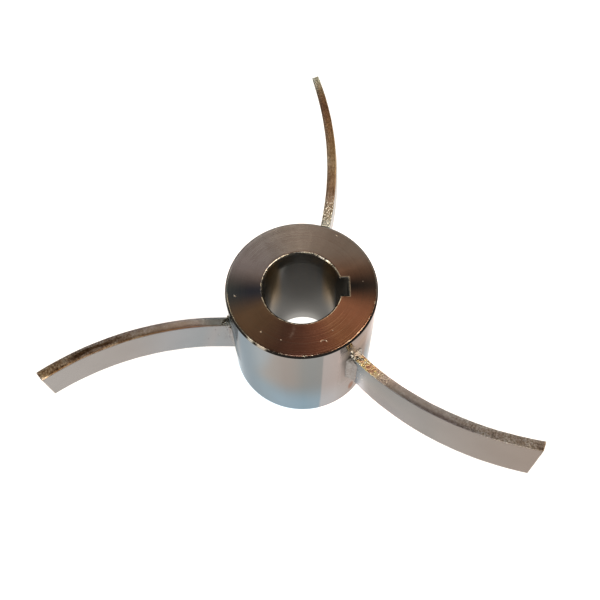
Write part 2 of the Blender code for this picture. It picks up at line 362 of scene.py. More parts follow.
# Where one look gives way to another, as a smooth step's start and end: in metres, but from -1
# to 1 for across and ahead, which are the direction from the axis, and for rootAim
hubZones = {
    "backY": (0.017, 0.005), "backAcross": (0.35, 0.85), "frontY": (0.01, -0.006),
    "gougeWidth": (0.00035, 0.00015), "rootAim": (0.955, 0.985), "rootFoot": (0.014, 0.022),
    "rootTop": (0.056, 0.048), "warmAcross": (0.5, 0.16), "spot": (0.0021, 0.0009),
    "boreSide": (0.26, 0.05), "boreSideZ": (0.016, 0.042), "line": (0.0003, 0.0001),
}
barLook = {
    "rough": 0.26, "cutRough": 0.1, "sparkGloss": 0.12, "grainDepth": 0.00025,
    # Stains on the flame-cut edges, by a noise from low to high
    "stain": [(0.38, 1.9, 1.85, 1.75), (0.44, 1.1, 1.1, 1.1), (0.5, 0.9, 0.78, 0.66),
              (0.54, 0.62, 0.46, 0.34), (0.58, 0.3, 0.23, 0.2)],
    # The heat colours beside a root, by another noise
    "mottle": [(0.33, 0.16, 0.05, 0.035), (0.39, 0.5, 0.21, 0.14), (0.46, 0.98, 0.63, 0.38),
               (0.52, 1.0, 0.8, 0.56), (0.555, 1.0, 0.8, 0.1), (0.6, 1.0, 0.98, 0.82)],
    # The tip's dark strip and the foot's tint are painted shade
    "tipDark": (0.1, 0.08, 0.065), "tipFace": (0.25, 0.22, 0.19), "streak": (0.27, 0.2, 0.14),
    "grainLow": (0.68, 0.65, 0.62), "grainHigh": (1.28, 1.27, 1.25),
    "cloud": (0.74, 0.72, 0.7), "footShade": (0.7, 0.74, 0.79),
    # Steps along the bar, by the share of its length; up and across it, from -1 to 1
    "tipShadeStrip": (0.982, 0.994), "tipStart": (0.93, 0.96), "tipRim": (0.975, 0.93),
    "footUp": (0.1, -0.6), "footAlong": (0.42, 0.25), "grainFrom": (0.5, 0.68),
    "farHalf": (-0.25, -0.8), "nearHalf": (0.0, 0.7), "lineWidth": 0.17,
    "streakHalf": (0.55, 0.15), "streakStart": (0.5, 0.66), "streakEnd": (0.9, 0.8),
    "hotStart": (0.05, 0.07), "hotEnd": (0.22, 0.15), "sparkFade": (0.07, -0.04),
    # Each bar: tones from root to tip of its faces (side) and flame-cut edges (edge), which carry painted
    # reflections and shade; the painted light on the edges' half towards the camera (near), along that
    # half's corner (line) and on the other half (far); the stains' least and greatest share, and where
    # along the bar they start and are full; the painted glints' colour (spark) and how far along the bar
    # they reach (sparks)
    "left": {
        "side": [(0.0, 0.225, 0.205, 0.195), (0.06, 0.225, 0.208, 0.195), (0.1, 0.25, 0.212, 0.192),
                 (0.16, 0.218, 0.205, 0.195), (0.3, 0.24, 0.218, 0.208), (1.0, 0.228, 0.218, 0.212)],
        "edge": [(0.0, 0.5, 0.55, 0.57), (0.12, 0.39, 0.43, 0.44), (0.2, 0.37, 0.34, 0.33),
                 (0.28, 0.35, 0.3, 0.27), (0.5, 0.27, 0.255, 0.25), (0.8, 0.23, 0.22, 0.21),
                 (0.985, 0.3, 0.25, 0.175), (1.0, 0.27, 0.24, 0.21)],
        "near": [(0.0, 1.0, 1.0, 1.0), (0.13, 0.9, 0.9, 0.9), (0.2, 0.55, 0.47, 0.45),
                 (0.5, 0.58, 0.5, 0.4), (0.65, 0.85, 0.75, 0.65), (0.72, 0.95, 0.85, 0.8),
                 (0.8, 0.66, 0.53, 0.43), (0.955, 0.55, 0.45, 0.37), (0.985, 1.7, 1.7, 1.7)],
        "line": [(0.0, 0.9, 0.85, 0.8), (0.12, 0.62, 0.42, 0.32), (0.38, 0.75, 0.58, 0.4),
                 (0.55, 1.25, 1.15, 1.0), (0.93, 1.25, 1.2, 1.1), (0.985, 2.0, 2.3, 2.8)],
        "far": (0.95, 1.02, 1.15), "stained": (0.2, 0.85, 0.3, 0.6),
        "spark": (1.0, 0.95, 0.8), "sparks": 0.05,
        "nearSide": 1.0, "lineFrom": 0.62, "tip": 0.4, "hot": 0.0, "streaked": 1.0, "foot": 0.0,
    },
    "right": {
        "side": [(0.05, 0.42, 0.46, 0.48), (0.08, 0.33, 0.35, 0.35), (0.11, 0.19, 0.195, 0.185),
                 (0.14, 0.14, 0.142, 0.127), (0.22, 0.142, 0.148, 0.142), (0.33, 0.165, 0.172, 0.17),
                 (0.45, 0.2, 0.195, 0.19), (0.55, 0.232, 0.214, 0.203), (0.8, 0.234, 0.2, 0.178),
                 (1.0, 0.225, 0.183, 0.158)],
        "edge": [(0.035, 1.0, 0.93, 0.9), (0.06, 1.0, 0.9, 0.8), (0.13, 1.0, 0.86, 0.66),
                 (0.22, 0.62, 0.52, 0.48), (0.33, 0.47, 0.45, 0.46), (0.6, 0.39, 0.39, 0.41),
                 (0.985, 0.37, 0.355, 0.345), (1.0, 0.33, 0.28, 0.24)],
        "near": [(0.0, 0.7, 0.7, 0.8), (0.15, 1.0, 1.0, 1.0), (0.22, 0.78, 0.78, 0.8),
                 (0.3, 0.6, 0.62, 0.62), (0.4, 0.45, 0.45, 0.47), (0.6, 0.48, 0.45, 0.47),
                 (0.7, 0.8, 0.85, 0.9), (0.85, 0.95, 0.95, 0.95), (1.0, 0.65, 0.6, 0.55)],
        "line": [(0.0, 1.7, 1.6, 1.45), (0.2, 1.1, 1.1, 1.1), (0.7, 0.9, 0.85, 0.8),
                 (0.76, 2.2, 2.15, 2.0)],
        "far": (1.2, 1.25, 1.3), "stained": (0.3, 0.55, 0.45, 0.75),
        "spark": (1.0, 0.95, 0.8), "sparks": 0.24,
        "nearSide": -1.0, "lineFrom": 0.8, "tip": 0.85, "hot": 0.9, "streaked": 0.0, "foot": 1.0,
    },
    "back": {
        "side": [(0.0, 0.25, 0.25, 0.25), (1.0, 0.3, 0.28, 0.26)],
        "edge": [(0.0, 0.66, 0.92, 1.0), (0.1, 0.58, 0.72, 0.8), (0.2, 0.38, 0.33, 0.25),
                 (0.3, 0.27, 0.18, 0.125), (0.45, 0.29, 0.195, 0.115), (0.5, 0.36, 0.27, 0.17),
                 (0.55, 0.3, 0.21, 0.12), (0.68, 0.25, 0.16, 0.095), (0.8, 0.18, 0.1, 0.06),
                 (0.88, 0.2, 0.125, 0.08), (0.92, 0.28, 0.22, 0.15), (0.955, 0.48, 0.45, 0.36),
                 (0.985, 0.56, 0.61, 0.54)],
        "near": [(0.0, 0.5, 0.5, 0.5), (0.2, 0.6, 0.62, 0.64), (0.35, 0.9, 0.98, 1.1),
                 (0.5, 1.0, 1.12, 1.4), (0.9, 0.95, 1.1, 1.35), (1.0, 1.0, 1.1, 1.3)],
        "line": [(0.0, 1.0, 1.0, 1.0)],
        "far": (0.82, 0.85, 0.82), "stained": (0.0, 0.45, 0.02, 0.1),
        "spark": (1.0, 1.0, 0.92), "sparks": 0.28,
        "nearSide": 1.0, "lineFrom": 0.8, "tip": 0.3, "hot": 0.0, "streaked": 0.0, "foot": 0.0,
    },
}
weldLook = {
    "fillet": {"light": (0.36, 0.345, 0.335), "dark": (0.285, 0.265, 0.25), "rough": 0.34,
               "depth": 0.00008},
    "lumps": {"light": (0.95, 0.9, 0.78), "dark": (0.075, 0.07, 0.055), "rough": 0.12,
              "depth": 0.00016},
}


def hubSteel():
    material, paint = newMaterial("turned steel")
    look, zone = hubLook, hubZones
    place = paint.node("ShaderNodeTexCoord", out=3)
    x, y, z = place.split()
    radius = x.length(y)
    across, ahead = x / radius, y / radius
    turn = across * 0.5 + 0.5
    rim, height = hub["radius"], hub["height"]
    mouth = hub["bore"] + hub["boreChamfer"]
    top = z.step(height - 0.0003, height - 0.0001)
    cloud = paint.noise(place, 90.0, 3.0, 0.6)
    paintedLightMask = paint.noise(place, 700.0, 2.0, 0.6)
    # The turned face's tones round the bore are painted reflections and shade, as fine turning would show
    # them: darkest to either side
    right = y.step(*zone["backY"]) * across.step(*zone["backAcross"])
    back = paint.tinted(right, turn.ramp(look["back"]), look["backRight"])
    face = paint.blend(y.step(*zone["frontY"]), back, turn.ramp(look["front"]))
    slope = abs((y - x * look["wedgeLean"] + look["wedgeDrop"]) / abs(x).most(0.004))
    outward = (radius - mouth) / (rim - mouth)
    wedgeShade = paint.blend(across.step(-0.1, 0.1), outward.ramp(look["wedgeLeft"]),
                        outward.ramp(look["wedgeRight"]))
    face = paint.blend(slope.step(0.5, 0.0) * abs(x).step(0.003, 0.013), face, wedgeShade)
    streak = paint.noise(paint.join(across, ahead, radius * 6.0), 9.0, 4.0, 0.7)
    face = paint.tinted(streak.step(0.35, 0.8) * 0.22, face, look["streak"])
    face = paint.tinted(cloud.step(0.4, 0.75) * 0.35, face, look["cloud"])
    # Its dents, gouge and smear
    dent = x * 0.0
    for dentX, dentY, size in look["dents"]:
        dent = dent.most((x - dentX).length(y - dentY).step(size, size * 0.5))
    gougeX, gougeY = look["gougePlace"]
    bow = (x - gougeX).length((y - gougeY) * 1.3 + look["gougeCentre"])
    bow = bow.near(look["gougeRadius"], *zone["gougeWidth"]) * (y - gougeY).step(-0.0006, 0.0)
    dent = dent.most(bow)
    smearX, smearY = look["smearPlace"]
    smear = (x - (y - smearY) * look["smearLean"]).near(smearX, 0.0013, 0.0)
    smear = smear * y.near(smearY, 0.0036, 0.0012)
    smear = smear * paint.noise(place, 600.0, 3.0, 0.7).step(0.35, 0.65)
    face = paint.blend(dent * 0.55, face, look["dent"])
    face = paint.blend(smear * 0.35, face, look["smear"])
    # Frosted by the heat and spatter of the welds
    root = x * 0.0
    for setting in blades.values():
        azimuth = math.radians(setting["azimuth"])
        facing = across * math.cos(azimuth) + ahead * math.sin(azimuth)
        root = root.most(facing.step(*zone["rootAim"]))
    root = root * z.step(*zone["rootFoot"]) * z.step(*zone["rootTop"]) * radius.step(0.029, 0.0295)
    # Painted reflections on the wall: warmer below its front edge and cooler at its foot; with a copper
    # heat spot
    wall = turn.ramp(look["wall"])
    warm = across.near(-0.33, *zone["warmAcross"]) * ahead.step(0.0, -0.3) * z.step(0.016, 0.034)
    wall = paint.tinted(warm, wall, look["wallTop"])
    wall = paint.tinted(z.step(0.03, 0.006) * across.step(-0.6, -0.2), wall, look["wallFoot"])
    # The outer chamfer is painted dark: painted shade
    wall = paint.blend(z.step(height - 0.00095, height - 0.00085), wall, look["chamfer"])
    wall = paint.tinted(root * z.step(0.042, 0.046), wall, look["rootTop"])
    spotX, spotY, spotZ = look["spotPlace"]
    spot = (x - spotX).length(y - spotY, (z - spotZ) * look["spotSquash"]) + (cloud - 0.5) * 0.002
    wall = paint.blend(spot.step(*zone["spot"]) * 0.9, wall, look["heat"])
    # Bore and keyway
    half = hub["keyWidth"] / 2.0 + hub["keyChamfer"]
    keyEnd = hub["keyFloor"] + hub["keyChamfer"]
    inKey = abs(y).step(half + 0.0003, half - 0.0002) * x.step(0.0, 0.001)
    inKey = inKey * radius.step(0.0196, 0.0192) * (1.0 - top)
    inBore = radius.step(mouth - 0.0004, mouth - 0.0006) * (1.0 - top)
    stripes = paint.noise(paint.join(across, ahead, 0.0), 5.0, 3.0, 0.6, 4.0)
    side = (abs(across).near(0.78, *zone["boreSide"]) + (stripes - 0.5) * 0.9).most(0.0).least(1.0)
    inner = paint.blend(side * z.step(*zone["boreSideZ"]), look["bore"], look["boreSide"])
    colour = paint.blend(inBore, wall, inner)
    colour = paint.blend(inKey, colour, look["key"])
    colour = paint.blend(top, colour, face)
    # Painted highlights: bright lines along the mouth, the outer rim and the keyway's edges, broken up by a
    # noise
    mouthRim = radius.near(mouth - 0.0001, 0.00034, 0.00014) * paintedLightMask.step(0.43, 0.59)
    leftRim = across.step(-0.62, -0.78) * ahead.step(0.0, -0.2)
    frontRim = ahead.step(-0.45, -0.75) * paintedLightMask.step(0.45, 0.62)
    outerRim = (leftRim * 0.45 + frontRim * 0.3 + paintedLightMask.step(0.62, 0.68) * 0.5).least(1.0)
    outerRim = outerRim * radius.near(rim - hub["chamfer"], *zone["line"])
    keySide = abs(y).near(half, *zone["line"]) * x.step(0.0145, 0.0152) * x.step(keyEnd + 0.0002, keyEnd)
    keyBack = x.near(keyEnd, *zone["line"]) * abs(y).step(half + 0.0002, half)
    keyRim = keySide.most(keyBack) * paintedLightMask.step(0.38, 0.55) * 0.5
    lipHighlight = mouthRim.most(outerRim).most(keyRim) * z.step(height - 0.0008, height - 0.0004)
    colour = paint.blend(lipHighlight, colour, look["lipHighlight"])
    # Turning rings on the top, dents, frost at the roots and rough lips
    frost = paint.noise(place, 2600.0, 2.0, 0.6)
    rings = paint.node("ShaderNodeTexNoise", {
        "W": radius / look["ringPitch"], "Scale": 1.0, "Detail": 2.0, "Roughness": 0.6},
        noise_dimensions="1D")
    relief = rings * top - dent * 3.0 + frost * root * 0.8 + (paintedLightMask - 0.5) * lipHighlight * 3.0
    rough = look["wallRough"]
    for share, name in ((inBore.most(inKey), "boreRough"), (top, "topRough"), (root, "rootRough")):
        rough = rough + share * (look[name] - look["wallRough"])
    rough = rough + lipHighlight * look["lipRough"]
    closeMaterial(paint, {"Metallic": 1.0, "Specular Tint": look["grazing"]},
                  {"Base Color": colour, "Roughness": rough, "Normal": relief.bump(look["ringDepth"])})
    return material


def barSteel(name):
    look, own, seed = barLook, barLook[name], blades[name]["seed"]
    material, paint = newMaterial("bar steel " + name)
    place = paint.node("ShaderNodeTexCoord", out=3)
    along, up, across, cut = [paint.node("ShaderNodeAttribute", out=2, attribute_name=label)
                              for label in ("along", "up", "across", "cut")]
    share = along / blades[name]["length"]
    side, edge, near, line = [share.ramp(own[part]) for part in ("side", "edge", "near", "line")]
    # Faces: painted shade in a strip at the tip, faint clouding, and painted shade low down beside the
    # root, darker and cooler there
    cloud = paint.noise(place, 60.0, 3.0, 0.6)
    paintedLightMask = (share + (up - 1.0) * 0.006).step(*look["tipShadeStrip"]) * own["tip"]
    side = paint.blend(paintedLightMask, side, look["tipDark"])
    side = paint.tinted(cloud.step(0.35, 0.75) * 0.3, side, look["cloud"])
    foot = up.step(*look["footUp"]) * share.step(*look["footAlong"])
    side = paint.tinted(foot * own["foot"], side, look["footShade"])
    # Edges: stained and grainy, with painted light on either half, by the half that faces the camera, and
    # along the near corner
    flow = paint.join(along, up * 0.004, across * 0.002)
    grain = paint.noise(flow, 1500.0, 3.0, 0.65, seed)
    patch = paint.noise(flow, 240.0, 3.0, 0.6, seed) * 0.45
    patch = patch + paint.noise(flow, 1000.0, 3.0, 0.7, seed + 1.0) * 0.55
    edge = paint.blend(share.step(*look["tipStart"]) * abs(up).step(*look["tipRim"]), edge, look["tipFace"])
    least, most, start, full = own["stained"]
    edge = paint.tinted(share.step(start, full) * (most - least) + least, edge, patch.ramp(look["stain"]))
    fine = paint.blend(grain.step(0.4, 0.6), look["grainLow"], look["grainHigh"])
    edge = paint.tinted(share.step(*look["grainFrom"]), edge, fine)
    aside = across * own["nearSide"]
    edge = paint.tinted(aside.step(*look["farHalf"]), edge, own["far"])
    edge = paint.tinted(aside.step(*look["nearHalf"]), edge, near)
    wander = paint.noise(paint.join(along * 0.3, across * 0.002, 0.0), 320.0, 2.0, 0.6, 21.0)
    streak = abs(aside + (wander - 0.5) * 1.2).step(*look["streakHalf"])
    streak = streak * share.step(*look["streakStart"]) * share.step(*look["streakEnd"])
    edge = paint.tinted(streak * own["streaked"], edge, look["streak"])
    corner = aside.step(own["lineFrom"], own["lineFrom"] + look["lineWidth"])
    edge = paint.tinted(corner * 0.8, edge, line)
    # Heat colours near the root, and painted glints there as bright specks
    heat = paint.noise(flow, 520.0, 3.0, 0.6, seed + 2.0) - across * 0.045
    hot = share.step(*look["hotStart"]) * share.step(*look["hotEnd"]) * own["hot"]
    edge = paint.blend(hot, edge, heat.ramp(look["mottle"]))
    bright = share.step(*[own["sparks"] + fade for fade in look["sparkFade"]])
    paintedGlint = grain.step(0.53, 0.6) * bright * (1.0 - hot * 0.85)
    edge = paint.blend(paintedGlint, edge, own["spark"])
    colour = paint.blend(cut, side, edge)
    relief = grain * cut * (1.0 + bright) + cloud * 0.06
    rough = look["rough"] + cut * look["cutRough"] - paintedGlint.most(hot) * cut * look["sparkGloss"]
    closeMaterial(paint, {"Metallic": 1.0},
                  {"Base Color": colour, "Roughness": rough, "Normal": relief.bump(look["grainDepth"])})
    return material


def weldSteel(name):
    look = weldLook[name]
    material, paint = newMaterial("weld " + name)
    place = paint.node("ShaderNodeTexCoord", out=3)
    grain = paint.noise(place, 1400.0, 3.0, 0.6)
    cloud = paint.noise(place, 800.0, 2.0, 0.6)
    colour = paint.blend(cloud.step(0.46, 0.6), look["dark"], look["light"])
    rough = grain * 0.25 + look["rough"]
    closeMaterial(paint, {"Metallic": 1.0},
                  {"Base Color": colour, "Roughness": rough, "Normal": grain.bump(look["depth"])})
    return material


# Hub

hub = {
    "radius": 0.03, "height": 0.058, "chamfer": 0.0009, "bore": 0.0145, "boreChamfer": 0.0015,
    "mouthChamfer": 0.0006, "mouthDepth": 0.0055, "mouthBend": 0.001, "mouthRound": 0.00034,
    "rimRound": 0.00028, "edgeRound": 0.00012, "hold": 0.0003, "sides": 360, "sharpAngle": 28.0,
    "keyWidth": 0.008, "keyFloor": 0.0185, "keyChamfer": 0.0004, "keyCorner": 0.0004,
    "keyStart": 0.004, "overrun": 0.002,
}


def roundedProfile(points, hold):
    # Each corner (x, z, radius) becomes a small arc with a holding point on either side of it
    made = []
    for i, (px, pz, radius) in enumerate(points):
        corner = Vector((px, pz))
        before = Vector(points[i - 1][:2]) - corner
        after = Vector(points[(i + 1) % len(points)][:2]) - corner
        back, ahead = before.normalized(), after.normalized()
        if before.length > 2.0 * (radius + hold):
            made.append(corner + back * (radius + hold))
        for share in (0.0, 0.25, 0.5, 0.75, 1.0):
            near = (corner + back * radius).lerp(corner, share)
            far = corner.lerp(corner + ahead * radius, share)
            made.append(near.lerp(far, share))
        if after.length > 2.0 * (radius + hold):
            made.append(corner + ahead * (radius + hold))
    return made


def banded(name, rings, capped):
    # Quads between neighbouring rings of points, with capped ends or else round to the first ring
    bm = bmesh.new()
    loops = [[bm.verts.new(point) for point in ring] for ring in rings]
    for low, high in zip(loops, loops[1:] if capped else loops[1:] + loops[:1]):
        for i in range(len(low)):
            j = (i + 1) % len(low)
            bm.faces.new((low[i], low[j], high[j], high[i]))
    if capped:
        bm.faces.new(loops[0][::-1])
        bm.faces.new(loops[-1])
    bmesh.ops.recalc_face_normals(bm, faces=bm.faces)
    mesh = bpy.data.meshes.new(name)
    bm.to_mesh(mesh)
    bm.free()
    return link(bpy.data.objects.new(name, mesh))


def makeHub(material):
    r, h, c = hub["radius"], hub["height"], hub["chamfer"]
    b, bc = hub["bore"], hub["boreChamfer"]
    m, edge = hub["mouthChamfer"], hub["edgeRound"]
    corners = [(r - c, h, hub["rimRound"]), (r, h - c, edge), (r, c, edge), (r - c, 0.0, edge),
               (b + bc, 0.0, edge), (b, bc, edge), (b, h - hub["mouthDepth"], hub["mouthBend"]),
               (b + bc - m, h - m, edge), (b + bc, h, hub["mouthRound"])]
    profile = roundedProfile(corners, hub["hold"])
    turns = [2.0 * math.pi * k / hub["sides"] for k in range(hub["sides"])]
    body = banded("hubBlank", [[(p.x * math.cos(turn), p.x * math.sin(turn), p.y) for p in profile]
                               for turn in turns], False)
    # The keyway's cutter: a bar along Z that flares at both mouths
    half, ch, over = hub["keyWidth"] / 2.0, hub["keyChamfer"], hub["overrun"]
    start, corner = hub["keyStart"], hub["keyCorner"]
    cut = corner * 0.3
    levels = []
    for level, grow in ((-over, over + ch), (ch, 0.0), (h - ch, 0.0), (h + over, over + ch)):
        far, wide = hub["keyFloor"] + grow, half + grow
        outline = [(start, -wide), (far - corner, -wide), (far - cut, -wide + cut), (far, -wide + corner),
                   (far, wide - corner), (far - cut, wide - cut), (far - corner, wide), (start, wide)]
        levels.append([(px, py, level) for px, py in outline])
    key = banded("keyCutter", levels, True)
    boolean = body.modifiers.new("keyway", "BOOLEAN")
    boolean.operation, boolean.solver, boolean.object = "DIFFERENCE", "EXACT", key
    piece = baked(body, "keyedHub")
    bpy.data.objects.remove(key)
    piece.data.shade_smooth()
    piece.data.set_sharp_from_angle(angle=math.radians(hub["sharpAngle"]))
    piece.data.materials.clear()
    piece.data.materials.append(material)
    print("hub made:", len(piece.data.polygons), "faces")
    return placed(piece, Matrix.Identity(4), "turned_steel", "hub")


# Blades

bar = {
    "thickness": 0.004, "height": 0.021, "bend": 0.122, "rootHeight": 0.0325,
    "edgeRound": 0.00035, "inset": 0.0006,
    # The mesh's points along the bar, then across it and up it
    "steps": 250, "rows": (13, 25),
    # The flame cut: its depth, the noise scales of its drag lines, its wander and its slow wave,
    # how far the wander reaches down the faces, and the wave's height
    "cutDepth": 0.00011, "dragScale": 800.0, "wanderScale": 260.0, "waveScale": 45.0,
    "wanderReach": 0.0022, "wave": 0.0003,
    # Where along the bar the search for the hub's wall starts and ends
    "search": (-0.006, 0.012), "halvings": 40,
}
# Angles in degrees: azimuth, toe, rise and lean turn the whole bar at its root, rake and skew
# slant its tip, and twist is the lean that it gains towards the tip
blades = {
    "left": {"azimuth": 193.3, "toe": -10.2, "rise": 13.2, "lean": -1.0, "rake": 12.0, "skew": 0.0,
             "twist": 0.0, "thinning": 0.0, "length": 0.0794, "seed": 3.0},
    "right": {"azimuth": 312.9, "toe": -7.3, "rise": 11.6, "lean": 0.5, "rake": 10.0, "skew": -8.0,
              "twist": 0.0, "thinning": 0.0, "length": 0.0826, "seed": 7.0},
    "back": {"azimuth": 74.9, "toe": -5.9, "rise": 21.0, "lean": 4.6, "rake": 12.0, "skew": 0.0,
             "twist": 3.6, "thinning": 0.3, "length": 0.0783, "seed": 11.0},
}


def barFrame(setting):
    # Local +X leaves the hub, +Y points to the centre of the bend, +Z is up the bar
    azimuth = math.radians(setting["azimuth"])
    root = Vector((hub["radius"] * math.cos(azimuth), hub["radius"] * math.sin(azimuth), bar["rootHeight"]))
    heading = Matrix.Rotation(azimuth + math.radians(setting["toe"]), 4, "Z")
    rise = Matrix.Rotation(-math.radians(setting["rise"]), 4, "Y")
    lean = Matrix.Rotation(math.radians(setting["lean"]), 4, "X")
    return Matrix.Translation(root) @ heading @ rise @ lean


def barPoint(matrix, along, side, height):
    turn = along / bar["bend"]
    radius = bar["bend"] - side * bar["thickness"] / 2.0
    return matrix @ Vector((radius * math.sin(turn), bar["bend"] - radius * math.cos(turn), height))


def meetsWall(matrix, side, height):
    # The point where one line along the bar meets the hub's wall
    near, far = bar["search"]
    for _ in range(bar["halvings"]):
        middle = (near + far) / 2.0
        if barPoint(matrix, middle, side, height).xy.length < hub["radius"]:
            near = middle
        else:
            far = middle
    return barPoint(matrix, near, side, height)


def barTree():
    tree, build, given = newTree("curved flat bar", {
        "Float": ("Length", "Height", "Thickness", "Bend Radius", "Edge Round", "Inset", "Rise Slope",
                  "Toe Slope", "Rake Slope", "Skew Slope", "Twist Slope", "Tip Thinning", "Cut Depth",
                  "Seed"),
        "Int": ("Steps",), "Material": ("Material",)})
    length, tall, thick = given["Length"], given["Height"] * 0.5, given["Thickness"] * 0.5
    edge, seed = given["Edge Round"], given["Seed"]
    rowsY, rowsZ = bar["rows"]
    shape = build.node("GeometryNodeMeshCube", {
        "Size": (2.0, 2.0, 2.0), "Vertices X": given["Steps"], "Vertices Y": rowsY, "Vertices Z": rowsZ})
    x, y, z = build.node("GeometryNodeInputPosition").split()
    along = (x * 0.5 + 0.5) * length
    across = (y * (math.pi / 2.0)).maths("SINE") * thick
    up = (z * (math.pi / 2.0)).maths("SINE") * tall
    # Corners of the block go on to a ball of the edge's radius
    overX = (along - (length - edge)).most(0.0)
    overY = (abs(across) - (thick - edge)).most(0.0)
    overZ = (abs(up) - (tall - edge)).most(0.0)
    reach = overX.most(overY).most(overZ)
    pull = 1.0 - reach / overX.length(overY, overZ)
    along = along - overX * pull
    across = across - overY * pull * across.maths("SIGN")
    up = up - overZ * pull * up.maths("SIGN")
    # Flame-cut edges: ragged, with drag lines that run across the thickness
    cutLong = abs(up).step(tall - edge, tall - edge * 0.2)
    cutTip = along.step(length - edge, length - edge * 0.2)
    cut = cutLong.most(cutTip)
    flow = build.join(along, across * 0.35, up * 0.35)
    lines = build.noise(flow, bar["dragScale"], 3.0, 0.6, seed) - 0.5
    wander = build.noise(build.join(along, across, up), bar["wanderScale"], 2.0, 0.5, seed + 5.0) - 0.5
    wave = build.noise(build.join(along, 0.0, 0.0), bar["waveScale"], 1.0, 0.5, seed + 9.0) - 0.5
    rough = (lines * 1.2 + wander) * given["Cut Depth"]
    nearEdge = abs(up).step(tall - bar["wanderReach"], tall)
    up = up + rough * cutLong * up.maths("SIGN") * 1.6
    along = along + rough * cutTip * 1.6
    across = across + wander * nearEdge * given["Cut Depth"] * 1.5 + wave * bar["wave"]
    # The root follows the hub's wall, and the tip is slanted
    root = up * given["Rise Slope"] + across * given["Toe Slope"] - given["Inset"]
    tip = length - (tall - up) * given["Rake Slope"] - across * given["Skew Slope"]
    along = root + along / length * (tip - root)
    # Where each point lies on the bar, for the material
    for label, value in (("along", along), ("up", up / tall), ("across", across / thick), ("cut", cut)):
        shape = build.node("GeometryNodeStoreNamedAttribute",
                           {"Geometry": shape, "Name": label, "Value": value},
                           data_type="FLOAT", domain="POINT")
    bend = given["Bend Radius"]
    # Towards its tip the bar leans over a little, about its lower edge, and thins
    reach = (along / length).most(0.0)
    across = across * (1.0 - reach.maths("POWER", 4.0) * given["Tip Thinning"])
    turn, radius = along / bend, bend - across - (up + tall) * reach * reach * given["Twist Slope"]
    bent = build.join(radius * turn.maths("SINE"), bend - radius * turn.maths("COSINE"), up)
    shape = build.node("GeometryNodeSetPosition", {"Geometry": shape, "Position": bent})
    closeTree(build, shape, given["Material"])
    return tree


def makeBlade(name, tree, material):
    setting = blades[name]
    slopes = {key.title() + " Slope": math.tan(math.radians(setting[key]))
              for key in ("rise", "toe", "rake", "skew", "twist")}
    piece = grown("bar_" + name, tree, {
        "Length": setting["length"], "Height": bar["height"], "Thickness": bar["thickness"],
        "Bend Radius": bar["bend"], "Edge Round": bar["edgeRound"], "Inset": bar["inset"], **slopes,
        "Tip Thinning": setting["thinning"], "Cut Depth": bar["cutDepth"], "Seed": setting["seed"],
        "Steps": bar["steps"], "Material": material})
    print("blade made:", name, len(piece.data.polygons), "faces")
    return placed(piece, barFrame(setting), "bar_steel", "blade_" + name)


# Welds

weld = {
    "stop": 0.0012, "pitch": 0.0012, "ripple": 0.0002, "wobble": 0.0003, "bury": 0.0004,
    "around": 36, "steps": 110, "scatter": 0.0004, "rough": 0.0002, "voxel": 0.00014,
    # Each side's fillet: its leg on the wall at the top and at the foot, and how much longer
    # its leg on the bar is. Then the lumps' count and path: out from the wall, across the bar
    # from the outer face (-1) to the inner one (1), and up from the bar's edge
    "left": {
        "inner": (0.0011, 0.0006, 1.1), "outer": (0.0024, 0.002, 1.0), "small": 0.0005, "large": 0.00085,
        "top": (7, (0.0003, -0.9, 0.0004), (0.0012, -0.1, 0.0003), (0.0026, 0.45, 0.0001)),
        "under": (5, (0.0004, -0.9, -0.0002), (0.0008, -0.4, -0.0002), (0.0012, 0.0, -0.0002)),
    },
    "right": {
        "inner": (0.0022, 0.002, 1.0), "outer": (0.0023, 0.0022, 1.7), "small": 0.0005, "large": 0.00105,
        "top": (9, (0.0002, -0.85, 0.0042), (0.0004, -1.2, -0.0014), (0.0042, 0.25, 0.0003)),
        "under": (5, (0.0004, 0.9, -0.0002), (0.0008, 0.4, -0.0002), (0.0012, 0.0, -0.0002)),
    },
    "back": {
        "inner": (0.0022, 0.0019, 1.0), "outer": (0.0022, 0.0019, 1.0), "small": 0.0005, "large": 0.0009,
        "top": (7, (0.0004, 1.0, 0.0003), (0.0016, 0.0, 0.0004), (0.0004, -1.0, 0.0002)),
        "under": (6, (0.0004, 1.0, -0.0002), (0.0012, 0.0, -0.0003), (0.0004, -1.0, -0.0002)),
    },
}


